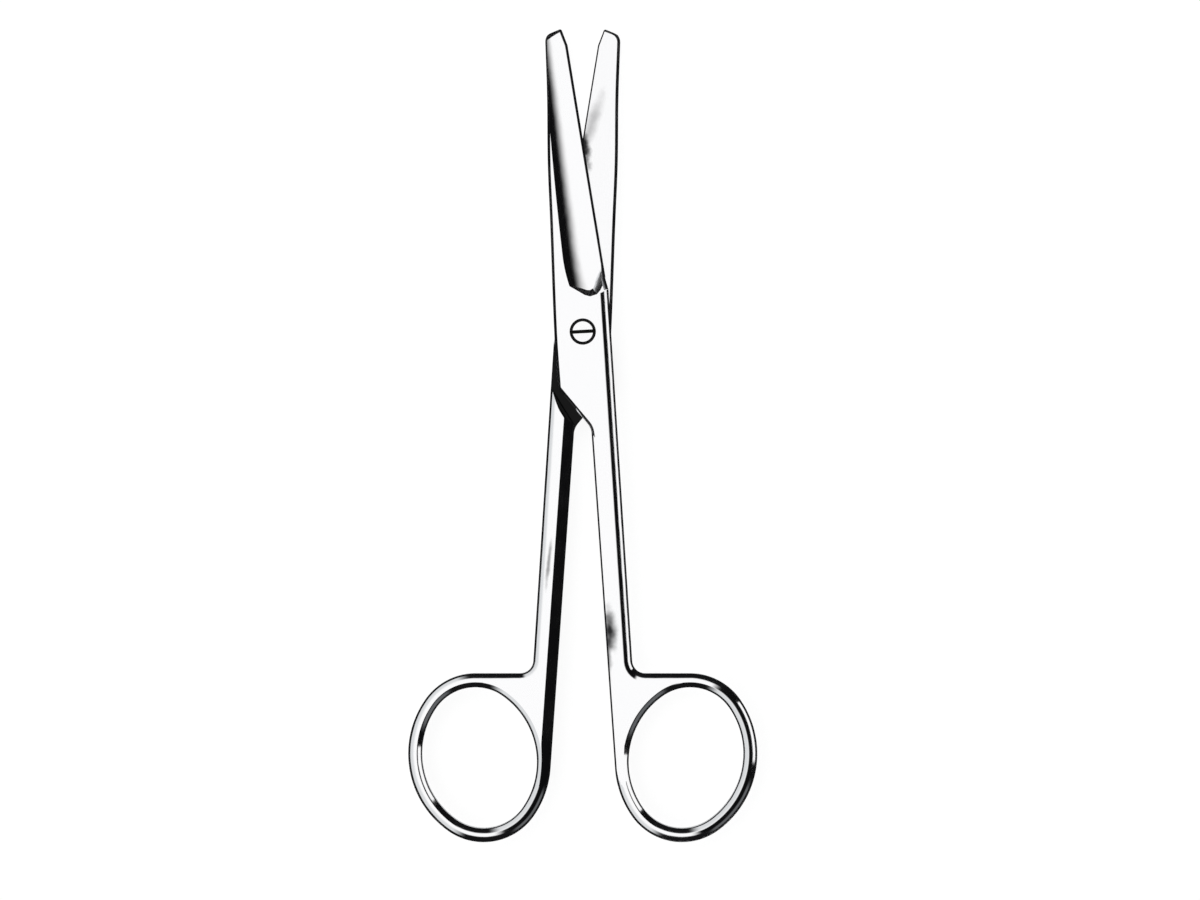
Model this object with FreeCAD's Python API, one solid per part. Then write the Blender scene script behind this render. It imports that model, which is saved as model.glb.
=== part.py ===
import FreeCAD, Part
import os
from math import asin, atan2, cos, degrees, radians, sin, tan

# Straight operating scissors with blunt tips and a lap joint, 14.5 cm long, lying flat.
# Lengths in millimetres. The origin is on the pivot axis in the plane the scissors lie on,
# +Y runs towards the tips and +Z up. Each half is drawn as it stands with the scissors
# closed, then turned to the slightly open position it has at rest.

# the whole pair
stack_thickness = 4.4        # both halves together, at the joint and at the shanks
rest_opening = 8.0           # angle between the halves at rest
shank_gap = 0.6              # left between the two shanks when closed
shoulder_gap = 0.15          # left between a joint plate and the shoulder when closed

# blade, seen from above
tip_reach = 53.9             # pivot to the very tip
tip_past_middle = 0.1        # how far the tip point stands back from the middle line
nose_drop = 0.95             # tip to the corner between spine and nose, down the blade
nose_back = 3.0              # middle line to that corner
nose_radius = 1.9
nose_facet_width = 0.8       # blunt facet on the outer face, along the nose
nose_facet_angle = 40.0
edge_top_drop = 3.1          # tip to the upper end of the cutting edge
edge_top_overlap = 0.85      # cutting edge beyond the middle line, at its upper end
edge_heel_reach = 8.6        # lower end of the cutting edge
edge_heel_side = 4.75
spine_at_joint = 5.05        # middle line to the spine, beside the pivot
spine_at_root = 4.4          # and further up, at shares of the way to the tip
spine_at_middle = 4.1
spine_near_tip = 3.4
root_share = 0.37
middle_share = 0.56
near_tip_share = 0.78

# blade, across its thickness
taper_start = 10.0           # the outer face begins to fall towards the tip here
spine_thickness_tip = 1.45
edge_thickness_heel = 0.75   # under the hollow grind
edge_thickness_tip = 0.5
edge_bevel_angle = 62.0
grind_end = 6.5              # run-out of the hollow grind before the joint
grind_rim_width = 1.3        # bevelled rim of the grinding wheel, which leaves a sloping step
grind_rim_angle = 42.0
grind_radius_heel = 20.0
grind_radius_tip = 8.6
inner_hollow_depth = 0.15    # relief of the inner face near the joint
inner_hollow_tip = 0.04
inner_hollow_radius = 30.0
inner_run_out = 2.0
spine_round = 0.5
spine_chamfer_width = 0.55    # on the inner face
spine_chamfer_depth = 0.5

# joint
joint_heel_reach = 7.2       # upper end of the straight outer side
joint_side_top = 5.05        # middle line to the outer side, there
diagonal_angle = 54.0        # lower edge of the joint plate
crotch_drop = 17.1           # pivot to the point where that edge reaches the shank
crotch_radius = 3.0
shoulder_bevel_width = 0.95
shoulder_bevel_height = 0.85

# shank and ring
neck_side = 4.65             # middle line to the outer side, at the ring
neck_radius = 2.3
outer_round = 1.6            # rounding of the outer side of shank and ring
inner_bevel_width = 1.75
inner_bevel_height = 0.82
hole_long = 25.1             # finger hole, along and across
hole_wide = 20.2
hole_end_share = 0.83        # radius of the hole's narrow ends, as a share of half its width
ring_width = 2.45
ring_tilt = 14.0             # the ring leans outwards at its top
ring_bottom = 91.4           # pivot to the lowest point of the ring
hole_bevel_width = 0.8       # broken edge round the hole, above and below
hole_bevel_height = 0.72

# pivot screw
head_width = 4.5
head_height = 1.0
head_clearance = 0.08
head_chamfer_width = 0.35
head_chamfer_depth = 0.31
slot_width = 0.55
slot_depth = 0.55
slot_turn = 3.0
journal_width = 3.2
journal_clearance = 0.03
side_play = 0.02
thread_width = 2.6
end_chamfer = 0.2

middle = stack_thickness / 2
inner_side = shank_gap / 2
edge_top_reach = tip_reach - edge_top_drop
hole_end_radius = hole_end_share * hole_wide / 2
clear = 1.0                  # cutting bodies start this far outside the metal
far = tip_reach + ring_bottom
hair = 0.001
UP = FreeCAD.Vector(0, 0, 1)


def point(x, y, z=0):
    return FreeCAD.Vector(x, y, z)


def line(start, end):
    return Part.makeLine(start, end)


def rounded_corner(before, corner, after, radius):
    """Points of the arc that rounds a corner: start, middle, end."""
    back = (before - corner).normalize()
    onward = (after - corner).normalize()
    half_angle = back.getAngle(onward) / 2
    reach = radius / tan(half_angle)
    centre = corner + (back + onward).normalize() * (radius / sin(half_angle))
    halfway = centre + (corner - centre).normalize() * radius
    return corner + back * reach, halfway, corner + onward * reach


def arc(points):
    return Part.Arc(*points).toShape()


def solid_from(edges, height):
    """Solid raised by height over the outline made of the edges, in order."""
    return Part.Face(Part.Wire(edges)).extrude(UP * height)


def prism(points, direction):
    """Straight bar with the given corners, run along the direction."""
    return Part.Face(Part.makePolygon(points + points[:1])).extrude(direction)


class Oval:
    """Outline of ring or hole: four arcs, tangent to each other, leaning outwards at the top."""

    def __init__(self, growth):
        half_wide = hole_wide / 2
        end_offset = hole_long / 2 - hole_end_radius
        rise = end_offset ** 2 + half_wide ** 2 - hole_end_radius ** 2
        side_radius = rise / (half_wide - hole_end_radius) / 2
        side_offset = side_radius - half_wide
        lean = radians(ring_tilt)
        centre_x = inner_side + ring_width + side_radius - side_offset * cos(lean)
        centre_y = ring_width + hole_end_radius + end_offset * cos(lean) - ring_bottom
        centre = point(centre_x, centre_y)
        upwards = point(sin(lean), cos(lean))
        inwards = point(-cos(lean), sin(lean))
        self.top_centre = centre + upwards * end_offset
        self.bottom_centre = centre - upwards * end_offset
        self.inner_centre = centre - inwards * side_offset
        self.outer_centre = centre + inwards * side_offset
        self.end_radius = hole_end_radius + growth
        self.side_radius = side_radius + growth
        # directions in which one arc passes into the next, counted from +X
        change = degrees(atan2(end_offset, side_offset))
        self.inner_low = 180 - ring_tilt + change
        self.outer_low = 360 - ring_tilt - change
        self.outer_high = 360 - ring_tilt + change
        self.inner_high = 540 - ring_tilt - change

    def inner_arc(self, first, last):
        return Part.makeCircle(self.side_radius, self.inner_centre, UP, first, last)

    def other_arcs(self, last):
        """The arcs from the inner one's lower end round the ring, to a direction on the top."""
        bottom_centre = self.bottom_centre
        outer_centre = self.outer_centre
        arcs = [Part.makeCircle(self.end_radius, bottom_centre, UP, self.inner_low, self.outer_low)]
        arcs.append(Part.makeCircle(self.side_radius, outer_centre, UP, self.outer_low, self.outer_high))
        arcs.append(Part.makeCircle(self.end_radius, self.top_centre, UP, self.outer_high, last))
        return arcs


def shank_and_ring():
    """Bar with the finger ring at its lower end, from the joint's outer side down."""
    ring = Oval(ring_width)
    # the ring leaves the shank's inner side upright, and its top is level at rest
    fall = radians(rest_opening / 2)
    ring_side = ring.inner_centre - point(ring.side_radius, 0)
    ring_top = ring.top_centre + point(sin(fall), cos(fall)) * ring.end_radius
    heel = point(joint_side_top, joint_heel_reach)
    neck_corner = point(neck_side, ring_top.y + (ring_top.x - neck_side) * tan(fall))
    neck = rounded_corner(ring_top, neck_corner, heel, neck_radius)
    inner_top = point(inner_side, joint_heel_reach)
    outline = [line(inner_top, ring_side), ring.inner_arc(180, ring.inner_low)]
    outline += ring.other_arcs(450 - rest_opening / 2)
    outline += [line(ring_top, neck[0]), arc(neck)]
    outline += [line(neck[2], heel), line(heel, inner_top)]
    body = solid_from(outline, stack_thickness)

    # everything but the upper end is rounded, above and below
    long_edges = []
    for edge in body.Edges:
        box = edge.BoundBox
        if box.ZLength < hair and box.YMin < joint_heel_reach - hair:
            long_edges.append(edge)
    body = body.makeFillet(outer_round, long_edges)

    hole = Oval(0)
    outline = [hole.inner_arc(hole.inner_high - 360, hole.inner_low)]
    outline += hole.other_arcs(hole.inner_high)
    body = body.cut(solid_from(outline, stack_thickness))
    rims = []
    for edge in body.Edges:
        box = edge.BoundBox
        at_face = box.ZMin > stack_thickness - hair or box.ZMax < hair
        if at_face and edge.Curve.TypeId == "Part::GeomCircle":
            radius = edge.Curve.Radius
            if abs(radius - hole.side_radius) < hair or abs(radius - hole.end_radius) < hair:
                rims.append(edge)
    body = body.makeChamfer(hole_bevel_width, hole_bevel_height, rims)

    # flat bevels on the inner side, which run out on the ring
    ridge = inner_side + inner_bevel_width
    outside = inner_side - clear
    depth = inner_bevel_height * (1 + clear / inner_bevel_width)
    for face, outwards in ((stack_thickness, 1), (0, -1)):
        low = face - outwards * depth
        high = face + outwards * clear
        corners = [point(ridge, -far, face), point(outside, -far, low)]
        corners += [point(outside, -far, high), point(ridge, -far, high)]
        body = body.cut(prism(corners, point(0, 2 * far)))
    return body


def lap_cutter():
    """Takes the lower layer away from the joint, up to the bevelled shoulder."""
    lean = radians(diagonal_angle)
    along = point(cos(lean), sin(lean))
    away = point(-sin(lean), cos(lean))
    foot = point(-inner_side, -crotch_drop) - away * shoulder_gap - along * far
    steps = [(0, middle), (0, shoulder_bevel_height), (-shoulder_bevel_width, 0)]
    steps += [(-shoulder_bevel_width, -clear), (far, -clear), (far, middle)]
    corners = [foot + away * out + UP * height for out, height in steps]
    return prism(corners, along * 2 * far)


def blade_and_plate():
    """Upper layer only: the blade and the plate of the joint below it."""
    heel = point(joint_side_top, joint_heel_reach)
    edge_heel = point(edge_heel_side, edge_heel_reach)
    edge_top = point(edge_top_overlap, edge_top_reach)
    tip = point(-tip_past_middle, tip_reach)
    nose_corner = point(-nose_back, tip_reach - nose_drop)
    near_tip = point(-spine_near_tip, tip_reach * near_tip_share)
    nose = rounded_corner(tip, nose_corner, near_tip, nose_radius)
    slant = tan(radians(diagonal_angle))
    corner = point(-spine_at_joint, (inner_side + spine_at_joint) * slant - crotch_drop)
    spine = Part.BSplineCurve()
    path = [nose[2], near_tip, point(-spine_at_middle, tip_reach * middle_share)]
    path += [point(-spine_at_root, tip_reach * root_share), point(-spine_at_joint, 0), corner]
    spine.interpolate(Points=path, InitialTangent=near_tip - nose_corner, FinalTangent=point(0, -1))
    below = point(inner_side, -far)
    crotch = rounded_corner(corner, point(inner_side, -crotch_drop), below, crotch_radius)
    # beyond the crotch and the heel the outline runs inside the shank's bar
    inside = inner_bevel_width + clear / 2
    buried_low = crotch[2] + point(inside, -inside * slant)
    buried_high = point(buried_low.x, joint_heel_reach - clear)
    outline = [line(heel, edge_heel), line(edge_heel, edge_top), line(edge_top, tip)]
    outline += [line(tip, nose[0]), arc(nose), spine.toShape(), line(corner, crotch[0])]
    outline += [arc(crotch), line(crotch[2], buried_low), line(buried_low, buried_high)]
    outline += [line(buried_high, heel)]
    body = solid_from(outline, middle)
    body.translate(UP * middle)

    # the outer face falls in a flat arc towards the tip, level where the arc starts
    drop = middle - spine_thickness_tip
    run = tip_reach - taper_start
    bow_start = point(-far, taper_start, stack_thickness)
    bow_middle = bow_start + point(0, run / 2, -drop / 4)
    bow_end = bow_start + point(0, run, -drop)
    above_end = bow_end + UP * (drop + clear)
    above_start = bow_start + UP * clear
    profile = [arc((bow_start, bow_middle, bow_end)), line(bow_end, above_end)]
    profile += [line(above_end, above_start), line(above_start, bow_start)]
    body = body.cut(Part.Face(Part.Wire(profile)).extrude(point(2 * far, 0)))

    # spine and nose: rounded on the outer face, chamfered on the inner one
    body = body.makeFillet(spine_round, spine_edges(body, middle + spine_thickness_tip - hair, far))
    inner_edges = spine_edges(body, middle - hair, middle + hair)
    body = body.makeChamfer(spine_chamfer_depth, spine_chamfer_width, inner_edges)
    return body.cut(nose_facet(tip, nose_corner))


def nose_facet(tip, nose_corner):
    """Takes the sharp outer edge off the nose, at a steady slope."""
    along = (nose_corner - tip).normalize()
    outwards = UP.cross(along) * -1
    top = UP * (middle + spine_thickness_tip)
    slope = tan(radians(nose_facet_angle))
    start = tip - along * far + top - outwards * nose_facet_width
    corners = [start - outwards * clear + UP * clear * slope]
    corners.append(start + outwards * far - UP * far * slope)
    corners.append(start + outwards * far + UP * far)
    corners.append(start - outwards * clear + UP * far)
    return prism(corners, along * 2 * far)


def spine_edges(body, lowest, highest):
    """Edges along spine and nose that lie between two heights."""
    found = []
    for edge in body.Edges:
        box = edge.BoundBox
        level = box.ZMin > lowest and box.ZMax < highest
        if level and box.XMax < 0 and box.YMax > 0:
            found.append(edge)
    return found


def grinding_roller():
    """Tapered roller that grinds the outer face hollow down to the cutting edge."""
    heel = point(edge_heel_side, edge_heel_reach, middle + edge_thickness_heel)
    top = point(edge_top_overlap, edge_top_reach, middle + edge_thickness_tip)
    run = top - heel
    start = heel + run * ((grind_end - edge_heel_reach) / run.y)
    length = run.Length * (tip_reach + clear - grind_end) / run.y
    lean = asin((grind_radius_heel - grind_radius_tip) / run.Length)
    forward = point(run.x, run.y, run.z).normalize()
    upward = forward.cross(UP).cross(forward).normalize()
    axis = forward * cos(lean) - upward * sin(lean)
    centre = start + (upward * cos(lean) + forward * sin(lean)) * grind_radius_heel
    last_radius = grind_radius_heel - length * sin(lean)
    roller = Part.makeCone(grind_radius_heel, last_radius, length * cos(lean), centre, axis)
    wide_end = max(roller.Edges, key=lambda edge: edge.Length)
    rim_angle = radians(grind_rim_angle)
    rim_height = grind_rim_width * sin(rim_angle) / cos(rim_angle - lean)
    return roller.makeChamfer(grind_rim_width, rim_height, [wide_end])


def inner_hollow():
    """Shallow round relief of the inner face between the spine and the cutting edge."""
    low = point(0, edge_heel_reach, middle + inner_hollow_depth - inner_hollow_radius)
    blade_middle = (edge_top_overlap - nose_back) / 2
    high = point(blade_middle, edge_top_reach, middle + inner_hollow_tip - inner_hollow_radius)
    roller = Part.makeCylinder(inner_hollow_radius, far, low, high - low)
    low_end = [edge for edge in roller.Edges if edge.isClosed() and edge.BoundBox.YMax < tip_reach]
    return roller.makeFillet(inner_run_out, low_end)


def edge_bevel():
    """Steep bevel that brings the ground face to the keen edge."""
    heel = point(edge_heel_side, edge_heel_reach, middle)
    run = point(edge_top_overlap, edge_top_reach, middle) - heel
    out = point(run.y, -run.x).normalize()
    rise = UP * middle
    ground = heel - out * (middle / tan(radians(edge_bevel_angle))) + rise
    corners = [heel, ground, heel + out * clear + rise, heel + out * clear]
    return prism(corners, run * 2)


def scissor_half():
    """One half in the upper layer, closed, before any hole for the screw."""
    handle = shank_and_ring().cut(lap_cutter())
    blade = blade_and_plate()
    half = handle.fuse(blade).removeSplitter()
    half = half.cut(grinding_roller())
    half = half.cut(inner_hollow())
    return half.cut(edge_bevel())


def round_bar(width, bottom, top):
    return Part.makeCylinder(width / 2, top - bottom, point(0, 0, bottom))


def upper_half():
    recess_floor = stack_thickness - head_height
    half = scissor_half()
    bore_width = journal_width + 2 * journal_clearance
    recess_width = head_width + 2 * head_clearance
    half = half.cut(round_bar(bore_width, middle - clear, stack_thickness))
    half = half.cut(round_bar(recess_width, recess_floor, stack_thickness + clear))
    half.rotate(point(0, 0), UP, rest_opening / 2)
    return half


def lower_half():
    half = scissor_half()
    half.rotate(point(0, 0, middle), point(0, 1), 180)
    half = half.cut(round_bar(thread_width, -clear, middle + clear))
    half.rotate(point(0, 0), UP, -rest_opening / 2)
    return half


def pivot_screw():
    """Slotted shoulder screw: flush head, journal for the upper half, threaded end."""
    head_bottom = stack_thickness - head_height + side_play
    head = round_bar(head_width, head_bottom, stack_thickness)
    rim = [edge for edge in head.Edges if edge.BoundBox.ZMin > stack_thickness - hair]
    head = head.makeChamfer(head_chamfer_depth, head_chamfer_width, rim)
    journal = round_bar(journal_width, middle, head_bottom)
    stud = round_bar(thread_width, 0, middle)
    tail = [edge for edge in stud.Edges if edge.BoundBox.ZMax < hair]
    stud = stud.makeChamfer(end_chamfer, tail)
    screw = head.fuse(journal).fuse(stud).removeSplitter()
    slot = Part.makeBox(2 * head_width, slot_width, slot_depth + clear)
    slot.translate(point(-head_width, -slot_width / 2, stack_thickness - slot_depth))
    slot.rotate(point(0, 0), UP, slot_turn)
    return screw.cut(slot)


os.makedirs("parts", exist_ok=True)
for piece in (upper_half, lower_half, pivot_screw):
    solid = piece().Solids[0]
    solid.exportStep("parts/" + piece.__name__ + ".step")
    print(piece.__name__, round(solid.Volume, 2), "mm3, valid:", solid.isValid())
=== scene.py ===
from math import asin, atan2, cos, degrees, hypot, pi, radians, sin, tan

import bmesh
import bpy
from mathutils import Matrix, Vector
from mathutils.geometry import interpolate_bezier


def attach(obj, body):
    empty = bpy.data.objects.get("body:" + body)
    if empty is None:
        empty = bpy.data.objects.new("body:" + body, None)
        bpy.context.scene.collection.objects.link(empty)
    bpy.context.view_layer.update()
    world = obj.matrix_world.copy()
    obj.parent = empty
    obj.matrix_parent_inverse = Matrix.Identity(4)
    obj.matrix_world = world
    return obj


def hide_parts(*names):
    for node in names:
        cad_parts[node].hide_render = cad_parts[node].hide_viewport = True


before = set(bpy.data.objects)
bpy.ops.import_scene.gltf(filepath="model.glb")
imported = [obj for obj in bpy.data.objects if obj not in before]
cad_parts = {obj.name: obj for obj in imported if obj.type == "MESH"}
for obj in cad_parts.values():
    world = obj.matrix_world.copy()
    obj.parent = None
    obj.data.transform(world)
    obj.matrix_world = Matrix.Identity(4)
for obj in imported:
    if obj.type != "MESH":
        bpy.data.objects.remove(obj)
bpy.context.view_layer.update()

# Lengths in millimetres, angles in degrees. Each half is drawn closed, in the upper layer,
# with the pivot axis at the origin, +Y towards the tips and the inner face at mid height.
THICKNESS = 4.4
MIDDLE = THICKNESS / 2
REST_OPENING = 8.0
MM = 0.001

# joint, shank and ring
INNER_SIDE = 0.3
HEEL = (5.05, 7.2)
NECK_SIDE = 4.65
NECK_RADIUS = 2.3
DIAGONAL = 54.0
CROTCH_DROP = 17.1
CROTCH_RADIUS = 3.0
SHOULDER_GAP = 0.15
SHOULDER_BEVEL = (0.95, 0.85)
INNER_BEVEL = (1.95, 0.88)
HOLE_LONG = 25.1
HOLE_WIDE = 20.2
HOLE_END_RADIUS = 0.83 * HOLE_WIDE / 2
# rim of the finger hole: slope and width of each strip from the hole outwards
HOLE_STRIPS = ((43, 0.2), (37, 0.3), (33.5, 0.38), (28, 0.08), (20, 0.08), (9, 0.1))
RING_WIDTH = 2.45
RING_TILT = 14.0
RING_BOTTOM = 91.4

# the rounded outer side: slope and width of each strip from the outline inwards, then the shoulder
SIDE_STRIPS = ((43, 0.2), (40.5, 0.16), (36.5, 0.14), (33, 0.26), (29.5, 0.22), (26.5, 0.22), (23.5, 0.18))
SIDE_SHOULDER_RADIUS = 1.7
SIDE_SHOULDER_SLOPE = 20.5
SIDE_SHOULDER_STEPS = 8
# the flank between the shanks, painted black as shade: its width, and how far inwards its normals lean at
# least
FLANK_WIDTH = 0.4
FLANK_LEAN = 0.6

# blade
TIP = (-0.1, 53.9)
NOSE_CORNER = (-3.0, 52.95)
NOSE_RADIUS = 1.9
NOSE_FACET = (0.3, 42.0)
EDGE_TOP = (0.85, 50.8)
EDGE_HEEL = (4.75, 8.6)
SPINE = ((-3.4, 42.04), (-4.1, 30.18), (-4.4, 19.94), (-5.05, 0.0))
SPINE_EDGE = 0.5
SPINE_CHAMFER = 0.55
CHAMFER_STRETCH = 1.1
TAPER_START = 10.0
TIP_THICKNESS = 1.45
EDGE_THICKNESS = (0.6, 0.8)
# across the cutting edge, outwards and up from it: honed inner corner, keen edge, bevels
EDGE_SHAPE = ((-0.25, 0), (0, 0.2), (-0.42, 0.58), (-0.85, MIDDLE + 0.1))
# hollow grind: radius of the wheel at the heel and at the top of the edge
GRIND_RADII = (16.5, 11.3)
# where the hollow starts to rise towards the joint, past the heel, and how gently
GRIND_RISE = (5.5, 65.0)
# run-out of the hollow grind before the joint: its foot and the round of the foot's corner, then
# slope and width of each strip up
GRIND_FOOT = ((-4.67, 12.27), (1.97, 7.8), (3.89, 11.31))
GRIND_FOOT_RADIUS = 0.4
GRIND_STRIPS = ((20, 0.25), (33, 0.3), (42, 1.25))
# relief of the inner face: its depth at the heel and at the top, the wheel, and the round of its end
INNER_HOLLOW = (0.15, 0.04)
INNER_HOLLOW_RADIUS = 30.0
INNER_RUN_OUT = 8.0

# pivot screw
HEAD_WIDTH = 4.5
HEAD_HEIGHT = 1.0
HEAD_CLEARANCE = 0.08
HEAD_LIFT = 0.02
HEAD_CHAMFER = (0.46, 0.41)
SLOT_WIDTH = 0.62
SLOT_DEPTH = 0.55
SLOT_TURN = 3.0
JOURNAL_WIDTH = 3.2
JOURNAL_CLEARANCE = 0.03
THREAD_WIDTH = 2.6
END_CHAMFER = 0.2

# the photograph's frame, in millimetres
FRAME_WIDTH = 213.0
FRAME_CENTRE = (3.05, -20.95)
LENS = 200.0
SENSOR = 36.0

# The tent round the scissors. A panel has its first and last direction and how softly its sides
# end, then the height of its top and how softly that ends. Direction 0 is +X and 90 is +Y.
CARD_SIDES = (-75, 60, 6)
CARD = (CARD_SIDES, (56, 8))
CARD_GAP = ((-8, 32, 1), (27, 1.5))
CARD_FOOT = ((-62, -22, 5), (26, 2))
END_CARDS = (((50, 105, 8), (31, 2)), ((-115, -60, 8), (31, 2)))
# the same for the tops of what goes all round: the grey foot of the cloth and the low wall
CLOTH_FOOT = (31, 6)
LOW_WALL = (13, 1.5)
BELOW_ALL = -95

# facets of the rounds, and the angles past which an edge stays sharp
ARC_STEP = 0.45
ROLLER_STEPS = 720
TURNED_STEPS = 192
RISE_STEPS = 24
RUN_OUT_STEPS = 8
TAPER_STEP = 1.0
HALF_SHARP = 14
SCREW_SHARP = 30

# how far a cutting tool passes what it cuts, and which faces count as level or upright
CLEAR = 1.0
FAR = 160.0
ROLLER_OVERRUN = 1.2
CUT_OVERRUN = 1.5
HAIR = 0.001
LEVEL = 0.99
UPRIGHT = 0.3
UP = Vector((0, 0, 1))

# order of the finishes, on a half and on the screw
POLISHED, INNER, HOLLOW, DRILLED, UNBUFFED, BRUSHED = range(6)
TURNED, SLOT_SHADE = range(2)

# between which values a noise pattern mostly stays, and where a painted patch fades out in its radii
PATTERN_SPREAD = (0.3, 0.7)
PATCH_FADE = (0.6, 1.6)
# size of the soft patches in each finish, and spacing of the rings
REFLECTION_PATCH_RIM = 2.5
DULLING = 7
POLISH_WAVER = 6
HOLLOW_WAVER = 5
CROSSING_SHADE_RIM = 3
CORE_RIM = 1.5
SLOT_MOTTLE = 0.4
RUBBED_ARCS = 0.628
TURNED_RINGS = 0.2244
# the painted shade in the lap sets in between these two places along the half
LAP_PAINTED_SHADE = (-1.0, -2.5)
# spacing of the rings in a wave pattern of scale 1
WAVE_SPACING = 2 * pi / 20


def linear(hex_colour):
    """An sRGB colour such as "d8d8dc" as linear red, green, blue and alpha."""
    parts = [int(hex_colour[i:i + 2], 16) / 255 for i in (0, 2, 4)]
    return [p / 12.92 if p <= 0.04045 else ((p + 0.055) / 1.055) ** 2.4 for p in parts] + [1]


def add(tree, kind, links=None, **settings):
    """A node of that kind, with its properties or socket values set and its sockets linked."""
    node = tree.nodes.new(kind)
    for name, value in settings.items():
        if hasattr(node, name):
            setattr(node, name, value)
        else:
            node.inputs[name.replace("_", " ")].default_value = value
    for name, source in (links or {}).items():
        if isinstance(source, bpy.types.NodeSocket):
            tree.links.new(source, node.inputs[name])
        else:
            node.inputs[name].default_value = source
    return node


class Outline:
    """A line drawn from point to point and arc to arc, then closed and raised to a solid."""

    def __init__(self, x, y):
        self.mesh = bmesh.new()
        self.start = Vector((x, y, 0))
        self.tail = bmesh.ops.create_vert(self.mesh, co=self.start)["vert"][0]

    def line_to(self, x, y):
        drawn = bmesh.ops.extrude_vert_indiv(self.mesh, verts=[self.tail])
        self.tail = drawn["verts"][0]
        self.tail.co = (x, y, 0)

    def turn(self, centre, angle):
        """Goes round the centre by that angle, to the left where it is positive."""
        radius = hypot(self.tail.co.x - centre[0], self.tail.co.y - centre[1])
        steps = max(3, round(abs(radians(angle)) * radius / ARC_STEP))
        spun = bmesh.ops.spin(
            self.mesh, geom=[self.tail], cent=(centre[0], centre[1], 0), axis=UP,
            angle=radians(angle), steps=steps,
        )
        self.tail = [part for part in spun["geom_last"] if isinstance(part, bmesh.types.BMVert)][0]

    def round_corner(self, corner, onward, radius):
        """Up to a corner and round it, on the way to the point onward."""
        corner = Vector(corner)
        back = (self.tail.co.xy - corner).normalized()
        ahead = (Vector(onward) - corner).normalized()
        half_angle = back.angle(ahead) / 2
        start = corner + back * (radius / tan(half_angle))
        centre = corner + (back + ahead).normalized() * (radius / sin(half_angle))
        left = ahead.cross(back) > 0
        self.line_to(*start)
        self.turn(centre, (180 - degrees(2 * half_angle)) * (1 if left else -1))

    def smooth_through(self, places, first_way, last_way):
        """A smooth curve through the places, with the given directions at its ends."""
        places = [self.tail.co.xy] + [Vector(place) for place in places]
        ways = [Vector(first_way).normalized()]
        ways += [(after - before).normalized() for before, after in zip(places, places[2:])]
        ways.append(Vector(last_way).normalized())
        for here, there, way_out, way_in in zip(places, places[1:], ways, ways[1:]):
            reach = (there - here).length / 3
            steps = max(4, round(reach * 3))
            curve = interpolate_bezier(here, here + way_out * reach, there - way_in * reach, there, steps)
            for place in curve[1:]:
                self.line_to(place.x, place.y)

    def raised(self, bottom, top):
        """The closed outline as a solid between two heights."""
        mesh = self.mesh
        if (self.tail.co - self.start).length > HAIR:
            self.line_to(self.start.x, self.start.y)
        bmesh.ops.remove_doubles(mesh, verts=mesh.verts[:], dist=HAIR)
        bmesh.ops.edgeloop_fill(mesh, edges=mesh.edges[:])
        bmesh.ops.translate(mesh, verts=mesh.verts[:], vec=UP * bottom)
        raised = bmesh.ops.extrude_face_region(mesh, geom=mesh.faces[:])
        upper = [part for part in raised["geom"] if isinstance(part, bmesh.types.BMVert)]
        bmesh.ops.translate(mesh, verts=upper, vec=UP * (top - bottom))
        bmesh.ops.recalc_face_normals(mesh, faces=mesh.faces[:])
        return mesh


def top_face(mesh):
    """The highest face, and the largest where several are as high."""
    return max(mesh.faces, key=lambda face: (round(face.calc_center_median().z, 4), face.calc_area()))


def step_in(mesh, strips):
    """Narrows the top face in strips, each with its width and how far it rises."""
    for width, rise in strips:
        bmesh.ops.inset_region(
            mesh, faces=[top_face(mesh)], thickness=width, depth=rise,
            use_boundary=True, use_even_offset=True,
        )


def brush_sides(mesh):
    """Gives the upright walls the brushed finish of the sides, with its painted shade."""
    for face in mesh.faces:
        if abs(face.normal.z) < UPRIGHT:
            face.material_index = BRUSHED


def mirrored_below(mesh):
    """The shape above height 0, and the same below it, as one closed skin."""
    level = [face for face in mesh.faces if abs(face.normal.z) > LEVEL]
    floor = [face for face in level if abs(face.calc_center_median().z) < HAIR]
    bmesh.ops.delete(mesh, geom=floor, context="FACES_ONLY")
    whole = mesh.verts[:] + mesh.edges[:] + mesh.faces[:]
    bmesh.ops.mirror(mesh, geom=whole, matrix=Matrix.Identity(4), merge_dist=HAIR, axis="Z")
    bmesh.ops.recalc_face_normals(mesh, faces=mesh.faces[:])
    bmesh.ops.translate(mesh, verts=mesh.verts[:], vec=UP * MIDDLE)
    return mesh


def bar(corners, way, finish=POLISHED):
    """Straight bar with those corners, run along the way."""
    mesh = bmesh.new()
    face = mesh.faces.new([bmesh.ops.create_vert(mesh, co=corner)["vert"][0] for corner in corners])
    run = bmesh.ops.extrude_face_region(mesh, geom=[face])
    ends = [part for part in run["geom"] if isinstance(part, bmesh.types.BMVert)]
    bmesh.ops.translate(mesh, verts=ends, vec=way)
    bmesh.ops.recalc_face_normals(mesh, faces=mesh.faces[:])
    for side in mesh.faces:
        side.material_index = finish
    return mesh


def turned(profile, steps, start=(0, 0, 0), way=UP, finish=POLISHED):
    """Solid of revolution. The profile gives radius and place along the axis, end to end."""
    mesh = bmesh.new()
    dots = [bmesh.ops.create_vert(mesh, co=(radius, 0, place))["vert"][0] for radius, place in profile]
    edges = [mesh.edges.new(pair) for pair in zip(dots, dots[1:])]
    bmesh.ops.spin(
        mesh, geom=dots + edges, cent=(0, 0, 0), axis=UP, angle=2 * pi, steps=steps, use_merge=True,
    )
    bmesh.ops.remove_doubles(mesh, verts=mesh.verts[:], dist=HAIR)
    bmesh.ops.recalc_face_normals(mesh, faces=mesh.faces[:])
    for face in mesh.faces:
        face.material_index = finish
    stand = UP.rotation_difference(Vector(way)).to_matrix().to_4x4()
    mesh.transform(Matrix.Translation(start) @ stand)
    return mesh


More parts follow.
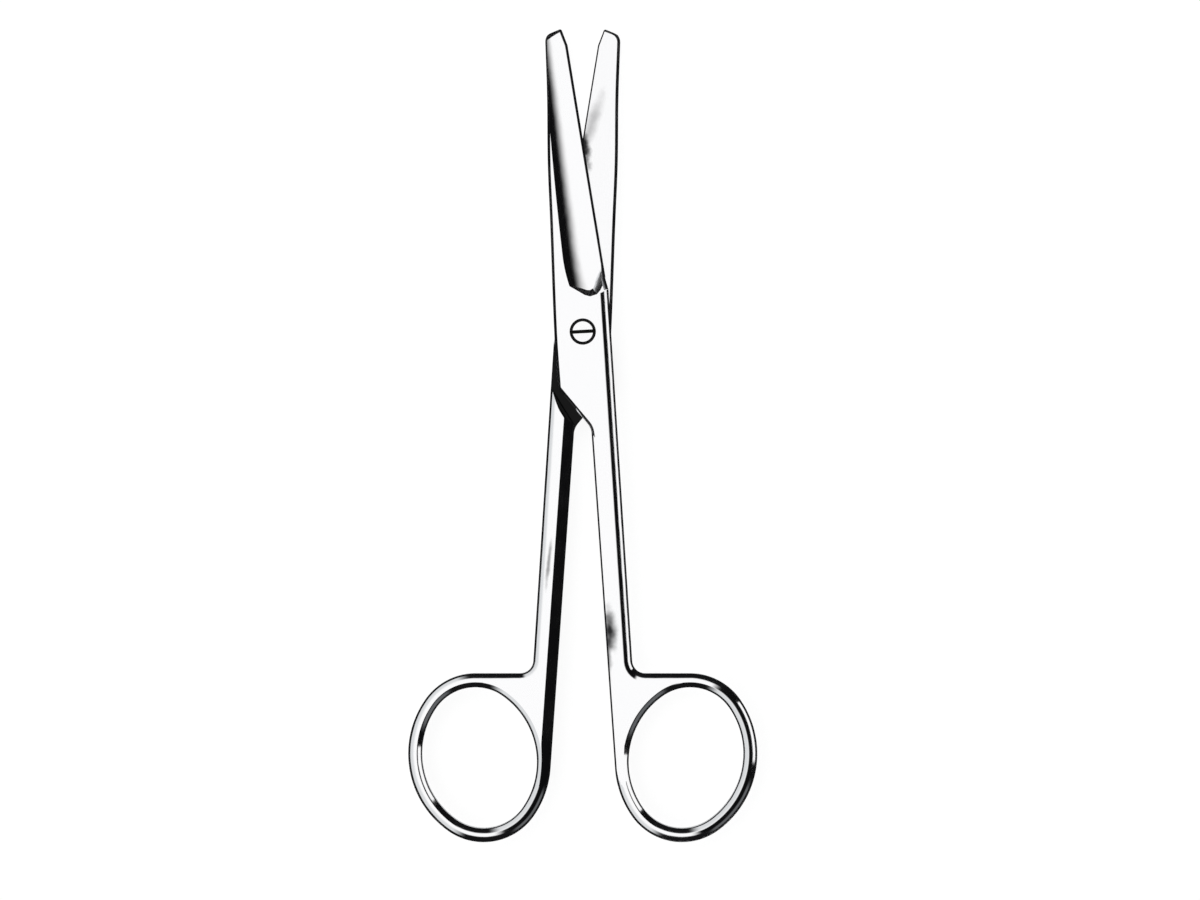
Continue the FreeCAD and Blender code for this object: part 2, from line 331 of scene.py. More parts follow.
def piece_from(mesh, name, finishes):
    """Scene object that holds the mesh, with its finishes in order."""
    data = bpy.data.meshes.new(name)
    mesh.to_mesh(data)
    mesh.free()
    for finish in finishes:
        data.materials.append(finish)
    item = bpy.data.objects.new(name, data)
    bpy.context.scene.collection.objects.link(item)
    return item


def worked(body, cuts=(), joins=()):
    """The body after each cut is taken away and each other body joined on."""
    tools = [(tool, "UNION") for tool in joins] + [(tool, "DIFFERENCE") for tool in cuts]
    for tool, operation in tools:
        step = body.modifiers.new(tool.name, "BOOLEAN")
        step.operation = operation
        step.solver = "MANIFOLD"
        step.material_mode = "TRANSFER"
        step.object = tool
    bpy.context.view_layer.update()
    graph = bpy.context.evaluated_depsgraph_get()
    finished = bpy.data.meshes.new_from_object(body.evaluated_get(graph))
    body.modifiers.clear()
    body.data = finished
    for tool in (*joins, *cuts):
        bpy.data.objects.remove(tool)
    return body


class Oval:
    """Finger hole, or the ring round it where it is grown: four arcs that pass into each other."""

    def __init__(self, growth):
        half_wide = HOLE_WIDE / 2
        end_offset = HOLE_LONG / 2 - HOLE_END_RADIUS
        rise = end_offset ** 2 + half_wide ** 2 - HOLE_END_RADIUS ** 2
        side_radius = rise / (half_wide - HOLE_END_RADIUS) / 2
        side_offset = side_radius - half_wide
        lean = radians(RING_TILT)
        centre_x = INNER_SIDE + RING_WIDTH + side_radius - side_offset * cos(lean)
        centre_y = RING_WIDTH + HOLE_END_RADIUS + end_offset * cos(lean) - RING_BOTTOM
        centre = Vector((centre_x, centre_y))
        upwards = Vector((sin(lean), cos(lean)))
        inwards = Vector((-cos(lean), sin(lean)))
        self.top_centre = centre + upwards * end_offset
        self.bottom_centre = centre - upwards * end_offset
        self.inner_centre = centre - inwards * side_offset
        self.outer_centre = centre + inwards * side_offset
        self.end_radius = HOLE_END_RADIUS + growth
        self.side_radius = side_radius + growth
        change = degrees(atan2(end_offset, side_offset))
        self.inner_low = 180 - RING_TILT + change
        self.outer_low = 360 - RING_TILT - change
        self.outer_high = 360 - RING_TILT + change
        self.inner_high = 540 - RING_TILT - change

    def draw_round(self, line, first, last):
        """Draws the arcs after the first direction on the inner side, up to the last on the top."""
        line.turn(self.inner_centre, self.inner_low - first)
        line.turn(self.bottom_centre, self.outer_low - self.inner_low)
        line.turn(self.outer_centre, self.outer_high - self.outer_low)
        line.turn(self.top_centre, last - self.outer_high)


def shank_and_ring(finishes):
    """Bar with the finger ring at its lower end, rounded all round, bevelled along its inner side."""
    ring = Oval(RING_WIDTH)
    fall = radians(REST_OPENING / 2)
    ring_top = ring.top_centre + Vector((sin(fall), cos(fall))) * ring.end_radius
    heel = Vector(HEEL)
    neck_corner = Vector((NECK_SIDE, ring_top.y + (ring_top.x - NECK_SIDE) * tan(fall)))
    beyond = heel + (heel - neck_corner).normalized() * 5 * CLEAR
    line = Outline(INNER_SIDE, beyond.y)
    line.line_to(INNER_SIDE, ring.inner_centre.y)
    ring.draw_round(line, 180, 450 - REST_OPENING / 2)
    line.round_corner(neck_corner, heel, NECK_RADIUS)
    line.line_to(*beyond)

    strips = [(width, width * tan(radians(slope))) for slope, width in SIDE_STRIPS]
    shares = [1 - n / SIDE_SHOULDER_STEPS for n in range(SIDE_SHOULDER_STEPS + 1)]
    slopes = [radians(SIDE_SHOULDER_SLOPE) * share for share in shares]
    for low, high in zip(slopes, slopes[1:]):
        width = SIDE_SHOULDER_RADIUS * (sin(low) - sin(high))
        strips.append((width, SIDE_SHOULDER_RADIUS * (cos(high) - cos(low))))
    side_drop = sum(rise for width, rise in strips)
    body = line.raised(0, MIDDLE - side_drop)
    step_in(body, strips)
    brush_sides(body)
    # the flank between the shanks takes the near-black finish, which is painted shade
    for face in body.faces:
        slope = face.normal.x < -FLANK_LEAN and face.normal.z > UPRIGHT
        if slope and face.calc_center_median().x < INNER_SIDE + FLANK_WIDTH:
            face.material_index = UNBUFFED
    body = piece_from(mirrored_below(body), "shank_and_ring", finishes)

    # the hole widens towards both faces
    strips = [(width, width * tan(radians(slope))) for slope, width in reversed(HOLE_STRIPS)]
    strips.append((HAIR, 0))
    hole = Oval(sum(width for width, rise in strips))
    high = radians(hole.inner_high)
    start = hole.inner_centre + Vector((cos(high), sin(high))) * hole.side_radius
    line = Outline(*start)
    hole.draw_round(line, hole.inner_high - 360, hole.inner_high)
    cut = line.raised(-MIDDLE - CLEAR, -MIDDLE)
    step_in(cut, strips)
    core = top_face(cut)
    rise = bmesh.ops.extrude_face_region(cut, geom=[core])
    upper = [part for part in rise["geom"] if isinstance(part, bmesh.types.BMVert)]
    for dot in upper:
        dot.co.z = 0
    bmesh.ops.delete(cut, geom=[core], context="FACES_ONLY")
    brush_sides(cut)
    cuts = [piece_from(mirrored_below(cut), "finger_hole", finishes)]

    ridge = INNER_SIDE + INNER_BEVEL[0]
    outside = INNER_SIDE - CLEAR
    depth = INNER_BEVEL[1] * (1 + CLEAR / INNER_BEVEL[0])
    for face, outwards in ((THICKNESS, 1), (0, -1)):
        corners = [(ridge, -FAR, face), (outside, -FAR, face - outwards * depth)]
        corners += [(outside, -FAR, face + outwards * CLEAR), (ridge, -FAR, face + outwards * CLEAR)]
        cuts.append(piece_from(bar(corners, (0, 2 * FAR, 0)), "inner_bevel", finishes))
    above = [(-FAR, HEEL[1], -CLEAR), (FAR, HEEL[1], -CLEAR), (FAR, FAR, -CLEAR), (-FAR, FAR, -CLEAR)]
    cuts.append(piece_from(bar(above, UP * 2 * FAR), "end_cut", finishes))
    cuts.append(lap_cut(finishes))
    return worked(body, cuts)


def lap_cut(finishes):
    """Takes the lower layer away from the joint, up to the bevelled shoulder."""
    lean = radians(DIAGONAL)
    along = Vector((cos(lean), sin(lean), 0))
    away = Vector((-sin(lean), cos(lean), 0))
    foot = Vector((-INNER_SIDE, -CROTCH_DROP, 0)) - away * SHOULDER_GAP - along * FAR
    width, height = SHOULDER_BEVEL
    steps = [(0, MIDDLE), (0, height), (-width, 0), (-width, -CLEAR), (FAR, -CLEAR), (FAR, MIDDLE)]
    corners = [foot + away * out + UP * rise for out, rise in steps]
    return piece_from(bar(corners, along * 2 * FAR, finish=INNER), "lap", finishes)


def blade_and_plate(finishes):
    """Upper layer only: the blade and the plate of the joint below it."""
    slant = tan(radians(DIAGONAL))
    corner = (SPINE[-1][0], (INNER_SIDE - SPINE[-1][0]) * slant - CROTCH_DROP)
    line = Outline(*HEEL)
    line.line_to(*EDGE_HEEL)
    line.line_to(*EDGE_TOP)
    line.line_to(*TIP)
    line.round_corner(NOSE_CORNER, SPINE[0], NOSE_RADIUS)
    line.smooth_through(SPINE + (corner,), Vector(SPINE[0]) - Vector(NOSE_CORNER), (0, -1))
    line.round_corner((INNER_SIDE, -CROTCH_DROP), (INNER_SIDE, -FAR), CROTCH_RADIUS)
    crotch_end = line.tail.co.copy()
    inside = INNER_BEVEL[0] + CLEAR / 2
    line.line_to(crotch_end.x + inside, crotch_end.y - inside * slant)
    line.line_to(crotch_end.x + inside, HEEL[1] - CLEAR)
    stretched = MIDDLE * CHAMFER_STRETCH
    blade = line.raised(0, stretched)

    # spine, nose and plate: both long edges broken, drawn in a stretched height so that they
    # slope a little less than 45 degrees
    for height, width, lowest in ((stretched, SPINE_EDGE, -FAR), (0, SPINE_CHAMFER, corner[1] - HAIR)):
        edges = []
        for edge in blade.edges:
            first, second = (dot.co for dot in edge.verts)
            level = abs(first.z - height) < HAIR and abs(second.z - height) < HAIR
            if level and max(first.x, second.x) < INNER_SIDE + HAIR and min(first.y, second.y) > lowest:
                edges.append(edge)
        bmesh.ops.bevel(
            blade, geom=edges, offset=width, offset_type="OFFSET", segments=1, profile=0.5,
            affect="EDGES", material=-1, clamp_overlap=False,
        )
    for dot in blade.verts:
        dot.co.z /= CHAMFER_STRETCH

    # the outer face falls in a flat arc towards the tip
    place = TAPER_START
    while place < TIP[1]:
        whole = blade.verts[:] + blade.edges[:] + blade.faces[:]
        bmesh.ops.bisect_plane(blade, geom=whole, plane_co=(0, place, 0), plane_no=(0, 1, 0), dist=HAIR / 10)
        place += TAPER_STEP
    run = TIP[1] - TAPER_START
    for dot in blade.verts:
        share = max(0, (dot.co.y - TAPER_START) / run)
        if dot.co.z > MIDDLE / 2:
            dot.co.z -= share ** 2 * (MIDDLE - TIP_THICKNESS)
    bmesh.ops.translate(blade, verts=blade.verts[:], vec=UP * MIDDLE)
    bmesh.ops.recalc_face_normals(blade, faces=blade.faces[:])
    brush_sides(blade)
    for face in blade.faces:
        if face.normal.z < -LEVEL:
            face.material_index = INNER
    body = piece_from(blade, "blade_and_plate", finishes)

    tip = Vector(TIP).to_3d()
    along = (Vector(NOSE_CORNER).to_3d() - tip).normalized()
    outwards = along.cross(UP)
    slope = tan(radians(NOSE_FACET[1]))
    start = tip - along * FAR + UP * (MIDDLE + NOSE_FACET[0])
    corners = [start + outwards * FAR - UP * FAR * slope, start - outwards * FAR + UP * FAR * slope]
    corners.append(start + outwards * FAR + UP * FAR * slope)
    return worked(body, [piece_from(bar(corners, along * 2 * FAR), "nose_facet", finishes)])


def grinding_roller(finishes):
    """Tapered wheel that grinds the outer face hollow down to the cutting edge."""
    heel = Vector((*EDGE_HEEL, MIDDLE + EDGE_THICKNESS[0]))
    top = Vector((*EDGE_TOP, MIDDLE + EDGE_THICKNESS[1]))
    run = top - heel
    wide, narrow = GRIND_RADII
    lean = asin((wide - narrow) / run.length)
    forward = run.normalized()
    upward = forward.cross(UP).cross(forward).normalized()
    axis = forward * cos(lean) - upward * sin(lean)
    centre = heel + (upward * cos(lean) + forward * sin(lean)) * wide
    rise_start, rise_radius = GRIND_RISE
    profile = [(0, -HEEL[1])]
    for n in range(RISE_STEPS + 1):
        place = rise_start - (rise_start + HEEL[1]) * (1 - n / RISE_STEPS)
        profile.append((wide - place * tan(lean) - (rise_start - place) ** 2 / 2 / rise_radius, place))
    length = run.length * ROLLER_OVERRUN * cos(lean)
    profile += [(wide - length * tan(lean), length), (0, length)]
    roller = turned(profile, ROLLER_STEPS, centre, axis, finish=HOLLOW)
    roller = piece_from(roller, "grinding_roller", finishes)

    # the plate keeps standing, with a sloping round end to the hollow
    line = Outline(-2 * HEEL[0], GRIND_FOOT[0][1] + CLEAR)
    line.line_to(-2 * HEEL[0], -2 * HEEL[1])
    line.line_to(2 * HEEL[0], -2 * HEEL[1])
    last = Vector(GRIND_FOOT[2])
    beyond = last + (last - Vector(GRIND_FOOT[1])) * CUT_OVERRUN
    line.line_to(*beyond)
    line.round_corner(GRIND_FOOT[1], GRIND_FOOT[0], GRIND_FOOT_RADIUS)
    line.line_to(*GRIND_FOOT[0])
    strips = [(width, width * tan(radians(slope))) for slope, width in GRIND_STRIPS]
    foot = THICKNESS - sum(rise for width, rise in strips)
    # a third of the last strip again, so that it clears the outer face
    strips.append(tuple(part / 3 for part in strips[-1]))
    standing = line.raised(0, foot)
    step_in(standing, strips)
    return worked(roller, [piece_from(standing, "standing_plate", finishes)])


def inner_roller(finishes):
    """Wide wheel that gives the inner face its shallow relief."""
    radius = INNER_HOLLOW_RADIUS
    low = Vector((0, EDGE_HEEL[1], MIDDLE + INNER_HOLLOW[0] - radius))
    high = Vector(((EDGE_TOP[0] + NOSE_CORNER[0]) / 2, EDGE_TOP[1], MIDDLE + INNER_HOLLOW[1] - radius))
    profile = [(0, 0)]
    for n in range(RUN_OUT_STEPS + 1):
        angle = radians(90 * n / RUN_OUT_STEPS)
        profile.append((radius - INNER_RUN_OUT * (1 - sin(angle)), INNER_RUN_OUT * (1 - cos(angle))))
    profile += [(radius, FAR / 2), (0, FAR / 2)]
    roller = turned(profile, ROLLER_STEPS, low, high - low, finish=INNER)
    return piece_from(roller, "inner_roller", finishes)


def edge_cut(first, last, finishes):
    """Bevels that bring the ground face to the keen edge between two points."""
    start = Vector((*first, MIDDLE))
    run = Vector((*last, MIDDLE)) - start
    out = Vector((run.y, -run.x, 0)).normalized()
    shape = ((EDGE_SHAPE[0][0], -CLEAR),) + EDGE_SHAPE + ((CLEAR, EDGE_SHAPE[-1][1]), (CLEAR, -CLEAR))
    corners = [start + out * across + UP * height for across, height in shape]
    # the bevels take the near-black finish, which is painted shade
    cutter = bar(corners, run * CUT_OVERRUN, finish=UNBUFFED)
    brush_sides(cutter)
    return piece_from(cutter, "edge_cut", finishes)


def scissor_half(finishes):
    """One half in the upper layer, closed, before any hole for the screw."""
    body = worked(shank_and_ring(finishes), joins=[blade_and_plate(finishes)])
    cuts = [grinding_roller(finishes), inner_roller(finishes)]
    for first, last in ((HEEL, EDGE_HEEL), (EDGE_HEEL, EDGE_TOP), (EDGE_TOP, TIP)):
        cuts.append(edge_cut(first, last, finishes))
    return worked(body, cuts)


def drilled(width, bottom, top, finishes):
    """Drill of that width that reaches from the bottom to the top."""
    profile = [(0, bottom), (width / 2, bottom), (width / 2, top), (0, top)]
    return piece_from(turned(profile, TURNED_STEPS, finish=DRILLED), "drill", finishes)


def set_smooth(item, sharpest):
    """Smooth shading that stops at the edges sharper than that angle."""
    item.data.shade_smooth()
    item.data.set_sharp_from_angle(angle=radians(sharpest))
    weighted = item.modifiers.new("even_flats", "WEIGHTED_NORMAL")
    weighted.keep_sharp = True


def placed(item, turn):
    """Turns the finished piece about the pivot and takes it from millimetres to metres."""
    item.data.transform(Matrix.Scale(MM, 4) @ Matrix.Rotation(radians(turn), 4, "Z"))


def halves(finishes):
    """Upper half, and the lower one as the same half turned over, each with its holes."""
    upper = scissor_half(finishes)
    upper.name = "upper_scissor_half"
    lower = bpy.data.objects.new("lower_scissor_half", upper.data.copy())
    bpy.context.scene.collection.objects.link(lower)
    flip = Matrix.Translation(UP * MIDDLE) @ Matrix.Rotation(pi, 4, "Y") @ Matrix.Translation(-UP * MIDDLE)
    lower.data.transform(flip)
    recess_floor = THICKNESS - HEAD_HEIGHT
    bore = drilled(JOURNAL_WIDTH + 2 * JOURNAL_CLEARANCE, MIDDLE - CLEAR, THICKNESS, finishes)
    recess = drilled(HEAD_WIDTH + 2 * HEAD_CLEARANCE, recess_floor, THICKNESS + CLEAR, finishes)
    worked(upper, [bore, recess])
    worked(lower, [drilled(THREAD_WIDTH, -CLEAR, MIDDLE + CLEAR, finishes)])
    for item, turn, body, node in (
        (upper, REST_OPENING / 2, "upper", "upper_half"), (lower, -REST_OPENING / 2, "lower", "lower_half"),
    ):
        placed(item, turn)
        set_smooth(item, HALF_SHARP)
        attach(item, body)
        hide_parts(node)


def screw(finishes):
    """Slotted shoulder screw, with a plain stud where the lower half hides its thread."""
    head_bottom = THICKNESS - HEAD_HEIGHT + HEAD_LIFT
    chamfer_width, chamfer_height = HEAD_CHAMFER
    profile = [(0, 0), (THREAD_WIDTH / 2 - END_CHAMFER, 0), (THREAD_WIDTH / 2, END_CHAMFER)]
    profile += [(THREAD_WIDTH / 2, MIDDLE), (JOURNAL_WIDTH / 2, MIDDLE), (JOURNAL_WIDTH / 2, head_bottom)]
    profile += [(HEAD_WIDTH / 2, head_bottom), (HEAD_WIDTH / 2, THICKNESS - chamfer_height)]
    profile += [(HEAD_WIDTH / 2 - chamfer_width, THICKNESS), (0, THICKNESS)]
    body = piece_from(turned(profile, TURNED_STEPS, finish=TURNED), "pivot_screw_slotted", finishes)

    side = SLOT_WIDTH / 2
    floor = THICKNESS - SLOT_DEPTH
    above = THICKNESS + CLEAR
    section = ((-side, floor), (side, floor), (side, above), (-side, above))
    slot = bar([(-HEAD_WIDTH, *corner) for corner in section], (2 * HEAD_WIDTH, 0, 0), finish=SLOT_SHADE)
    askew = Matrix.Rotation(radians(SLOT_TURN), 3, "Z")
    bmesh.ops.rotate(slot, verts=slot.verts[:], cent=(0, 0, 0), matrix=askew)
    worked(body, [piece_from(slot, "slot", finishes)])
    placed(body, 0)
    set_smooth(body, SCREW_SHARP)
    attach(body, "lower")
    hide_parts("pivot_screw")


def window(tree, value, first, last, soft):
    """1 between two angles and 0 outside, with soft ends."""
    ends = []
    for inside, outside in ((first + soft, first - soft), (last - soft, last + soft)):
        ends.append(add(
            tree, "ShaderNodeMapRange", {"Value": value}, interpolation_type="SMOOTHSTEP",
            From_Min=radians(outside), From_Max=radians(inside),
        ).outputs[0])
    return add(tree, "ShaderNodeMath", {0: ends[0], 1: ends[1]}, operation="MULTIPLY").outputs[0]


def panel(tree, around, height, shape):
    """1 inside a panel of the tent, and 0 beside it and above it."""
    sides, top = shape
    return add(tree, "ShaderNodeMath", {
        0: window(tree, around, *sides), 1: window(tree, height, BELOW_ALL, *top),
    }, operation="MULTIPLY").outputs[0]


def studio():
    """White tent with a black card on its right, and a low dark wall all round.

    The card has a gap and a paler foot. The wall is higher at both ends, and the cloth that the
    card leaves free is pale grey below."""
    world = bpy.data.worlds.new("studio")
    world.use_nodes = True
    tree = world.node_tree
    tree.nodes.clear()
    to_sky = add(tree, "ShaderNodeTexCoord").outputs["Generated"]
    parts = add(tree, "ShaderNodeSeparateXYZ", {0: to_sky}).outputs
    height = add(tree, "ShaderNodeMath", {0: parts["Z"]}, operation="ARCSINE").outputs[0]
    around = add(tree, "ShaderNodeMath", {0: parts["Y"], 1: parts["X"]}, operation="ARCTAN2").outputs[0]

    card = add(tree, "ShaderNodeMath", {
        0: panel(tree, around, height, CARD), 1: panel(tree, around, height, CARD_GAP),
    }, operation="SUBTRACT", use_clamp=True).outputs[0]
    card_shade = add(tree, "ShaderNodeMix", {
        "Factor": panel(tree, around, height, CARD_FOOT), 6: linear("0c0c0d"), 7: linear("606264"),
    }, data_type="RGBA").outputs[2]
    beside_card = add(tree, "ShaderNodeMath", {
        0: window(tree, height, BELOW_ALL, *CLOTH_FOOT), 1: window(tree, around, *CARD_SIDES),
    }, operation="SUBTRACT", use_clamp=True).outputs[0]
    cloth = add(tree, "ShaderNodeMix", {
        "Factor": beside_card, 6: linear("ffffff"), 7: linear("dcdedf"),
    }, data_type="RGBA").outputs[2]
    tent = add(tree, "ShaderNodeMix", {"Factor": card, 6: cloth, 7: card_shade}, data_type="RGBA").outputs[2]
    wall = window(tree, height, BELOW_ALL, *LOW_WALL)
    for shape in END_CARDS:
        end_card = panel(tree, around, height, shape)
        wall = add(tree, "ShaderNodeMath", {0: wall, 1: end_card}, operation="MAXIMUM").outputs[0]
    walled = add(tree, "ShaderNodeMix", {
        "Factor": wall, 6: tent, 7: linear("141415"),
    }, data_type="RGBA").outputs[2]

    light = add(tree, "ShaderNodeBackground", {"Color": walled}, Strength=1.0).outputs[0]
    backdrop = add(tree, "ShaderNodeBackground", Color=linear("fdfdfd"), Strength=1.0).outputs[0]
    looked_at = add(tree, "ShaderNodeLightPath").outputs["Is Camera Ray"]
    shown = add(tree, "ShaderNodeMixShader", {0: looked_at, 1: light, 2: backdrop}).outputs[0]
    add(tree, "ShaderNodeOutputWorld", {"Surface": shown})
    bpy.context.scene.world = world


def new_steel(name):
    """Bare steel: a metal with the default index of refraction."""
    material = bpy.data.materials.new(name)
    material.use_nodes = True
    tree = material.node_tree
    shader = tree.nodes["Principled BSDF"]
    shader.inputs["Metallic"].default_value = 1
    place = add(tree, "ShaderNodeTexCoord").outputs["Object"]
    return material, tree, shader, place


def lines(tree, place, spacing, length, turn=0):
    """Abrasive marks, spaced and as long as given in millimetres, along Y before the turn.

    Real ones are some hundredths of a millimetre apart. They are drawn coarser, so that they show."""
    laid = add(
        tree, "ShaderNodeMapping", {"Vector": place}, Rotation=(0, 0, radians(turn)),
        Scale=(1 / spacing / MM, 1 / length / MM, 1 / spacing / MM),
    ).outputs[0]
    marks = add(tree, "ShaderNodeTexNoise", {"Vector": laid}, Scale=1.0, Detail=3.0, Roughness=0.6)
    return marks.outputs["Fac"]


def roughened(tree, shader, pattern, finest, coarsest):
    """Roughness that goes from the finest to the coarsest with the pattern."""
    roughness = add(
        tree, "ShaderNodeMapRange", {"Value": pattern}, interpolation_type="SMOOTHSTEP",
        From_Min=PATTERN_SPREAD[0], From_Max=PATTERN_SPREAD[1], To_Min=finest, To_Max=coarsest,
    ).outputs[0]
    tree.links.new(roughness, shader.inputs["Roughness"])


def mottled(tree, shader, pattern, first, second):
    """Base colour that goes from the first shade to the second with the pattern."""
    share = add(
        tree, "ShaderNodeMapRange", {"Value": pattern}, interpolation_type="SMOOTHSTEP",
        From_Min=PATTERN_SPREAD[0], From_Max=PATTERN_SPREAD[1],
    ).outputs[0]
    patched_colour(tree, shader, first, (share, second))


def patched_colour(tree, shader, clean, *laid_patches):
    """Base colour of the bare steel, with the shade of each laid patch where its mask is."""
    colour = linear(clean)
    for mask, shade in laid_patches:
        colour = add(tree, "ShaderNodeMix", {
            "Factor": mask, 6: colour, 7: linear(shade),
        }, data_type="RGBA").outputs[2]
    tree.links.new(colour, shader.inputs["Base Color"])


def spot(tree, place, centre, size, turn, edge):
    """1 in the middle of an oval patch and 0 outside, its rim broken up by the edge pattern."""
    local = add(
        tree, "ShaderNodeMapping", {"Vector": place}, vector_type="TEXTURE", Rotation=(0, 0, radians(turn)),
        Location=(centre[0] * MM, centre[1] * MM, 0), Scale=(size[0] * MM, size[1] * MM, 1),
    ).outputs[0]
    reach = add(tree, "ShaderNodeVectorMath", {0: local}, operation="LENGTH").outputs["Value"]
    broken = add(tree, "ShaderNodeMath", {0: reach, 1: edge}, operation="ADD").outputs[0]
    return add(
        tree, "ShaderNodeMapRange", {"Value": broken}, interpolation_type="SMOOTHSTEP",
        From_Min=PATCH_FADE[0], From_Max=PATCH_FADE[1], To_Min=1, To_Max=0,
    ).outputs[0]


def relief(tree, shader, *layers):
    """Bump layers on the shader, each a pattern with its height in millimetres."""
    links = {}
    for pattern, height in layers:
        links["Height"] = pattern
        links["Normal"] = add(tree, "ShaderNodeBump", links, Strength=1.0, Distance=height * MM).outputs[0]
    tree.links.new(links["Normal"], shader.inputs["Normal"])


def polished_steel():
    """Martensitic stainless steel, belt ground and buffed by hand to a mirror.

    The eye sees hard black and white reflections that waver a little, fine lengthwise buffing
    lines, and painted reflections: grey and black patches laid into the colour of the shanks."""
    material, tree, shader, place = new_steel("buffed_martensitic_stainless_steel")
    buffing = lines(tree, place, 0.12, 3)
    reflection_patch_rim, dulling, waver = (
        add(tree, "ShaderNodeTexNoise", {"Vector": place}, Scale=1 / size / MM, Detail=2.0).outputs["Fac"]
        for size in (REFLECTION_PATCH_RIM, DULLING, POLISH_WAVER)
    )
    # painted reflections: grey and black patches on the shanks, as the mirror would show dark surroundings
    patched_colour(
        tree, shader, "fcfcfd",
        (spot(tree, place, (4.3, -56.0), (0.9, 6.5), 4, reflection_patch_rim), "8a8a8b"),
        (spot(tree, place, (4.75, -52.6), (1.5, 4.6), 4, reflection_patch_rim), "2c2c2d"),
        (spot(tree, place, (-6.0, -40.5), (0.45, 5.5), -6, reflection_patch_rim), "a4a4a5"),
    )
    roughened(tree, shader, dulling, 0.05, 0.11)
    relief(tree, shader, (waver, 0.05), (buffing, 0.0004))
    return material


def inner_steel():
    """The same steel, surface ground flat on the inner faces.

    The eye sees fine lines along the blade, arcs rubbed about the pivot by the other half, a
    painted grey shade with a black core where the blades cross, and painted black shade in the lap below the
    joint."""
    material, tree, shader, place = new_steel("surface_ground_stainless_steel")
    along = add(tree, "ShaderNodeSeparateXYZ", {0: place}).outputs["Y"]
    # painted black shade in the lap, over the inner face below these places along the half
    lap = add(
        tree, "ShaderNodeMapRange", {"Value": along}, interpolation_type="SMOOTHSTEP",
        From_Min=LAP_PAINTED_SHADE[0] * MM, From_Max=LAP_PAINTED_SHADE[1] * MM,
    ).outputs[0]
    crossing_shade_rim, core_rim = (
        add(tree, "ShaderNodeTexNoise", {"Vector": place}, Scale=1 / size / MM, Detail=2.0).outputs["Fac"]
        for size in (CROSSING_SHADE_RIM, CORE_RIM)
    )
    # painted shade where the blades cross: a grey patch with a black core
    painted_crossing_shade = spot(tree, place, (1.3, 36.0), (1.4, 8.0), -20, crossing_shade_rim)
    core = spot(tree, place, (0.35, 32.6), (1.1, 5.0), 10, core_rim)
    patched_colour(tree, shader, "fbfbfc", (painted_crossing_shade, "c4c4c5"), (core, "2a2a2b"), (lap, "1a1a1a"))
    arcs = add(
        tree, "ShaderNodeTexWave", {"Vector": place}, wave_type="RINGS", rings_direction="Z",
        Scale=WAVE_SPACING / RUBBED_ARCS / MM, Distortion=2.0, Detail=2.0,
    ).outputs["Fac"]
    ground = lines(tree, place, 0.1, 4)
    roughened(tree, shader, ground, 0.14, 0.24)
    relief(tree, shader, (ground, 0.0005), (arcs, 0.0002))
    return material


def hollow_steel():
    """The same steel, hollow ground across the blade on a wheel and finished on a felt mop.

    The eye sees fine marks across the blade, from back to edge, under a bright polish."""
    material, tree, shader, place = new_steel("hollow_ground_stainless_steel")
    shader.inputs["Base Color"].default_value = linear("fcfcfd")
    wheel = lines(tree, place, 0.15, 2.5, turn=80)
    waver = add(
        tree, "ShaderNodeTexNoise", {"Vector": place}, Scale=1 / HOLLOW_WAVER / MM, Detail=2.0,
    ).outputs["Fac"]
    roughened(tree, shader, wheel, 0.05, 0.09)
    relief(tree, shader, (waver, 0.03), (wheel, 0.0005))
    return material


def unbuffed_steel():
    """The cutting bevels, honed on a stone, and the flanks between the shanks, ground only.

    The eye sees them scratched and matt, dark between the mirrors: their near-black colour is painted shade."""
    material, tree, shader, place = new_steel("ground_unbuffed_steel_with_painted_shade")
    stone = lines(tree, place, 0.08, 1.2, turn=60)
    mottled(tree, shader, stone, "1c1c1d", "323234")
    roughened(tree, shader, stone, 0.25, 0.4)
    relief(tree, shader, (stone, 0.001))
    return material


def brushed_steel():
    """Sides of the halves, ground on a belt and left brushed.

    The eye sees grey satin with fine lines that run lengthwise; the grey is partly the brushed finish and
    partly painted shade on the upright walls."""
    material, tree, shader, place = new_steel("belt_brushed_steel_with_painted_shade")
    brush = lines(tree, place, 0.1, 3)
    mottled(tree, shader, brush, "9a9c9f", "b6b8bb")
    roughened(tree, shader, brush, 0.26, 0.4)
    relief(tree, shader, (brush, 0.001))
    return material


def drilled_steel():
    """Bored holes, left as the reamer made them, with painted shade in them.

    The eye sees them dark and dull, with marks across."""
    material, tree, shader, place = new_steel("reamed_stainless_steel_with_painted_shade")
    shader.inputs["Roughness"].default_value = 0.45
    reamer = lines(tree, place, 2.0, 0.1)
    mottled(tree, shader, reamer, "171718", "2b2b2c")
    relief(tree, shader, (reamer, 0.002))
    return material


def turned_steel():
    """Free-cutting stainless steel, turned and buffed.

    The eye sees faint rings about the screw's axis and small bright scuffs from drivers."""
    material, tree, shader, place = new_steel("turned_stainless_steel")
    shader.inputs["Base Color"].default_value = linear("fbfbfc")
    rings = add(
        tree, "ShaderNodeTexWave", {"Vector": place}, wave_type="RINGS", rings_direction="Z",
        Scale=WAVE_SPACING / TURNED_RINGS / MM, Distortion=0.4, Detail=1.0,
    ).outputs["Fac"]
    scuffs = lines(tree, place, 0.15, 1.5, turn=35)
    roughened(tree, shader, scuffs, 0.07, 0.16)
    relief(tree, shader, (rings, 0.0003), (scuffs, 0.0003))
    return material


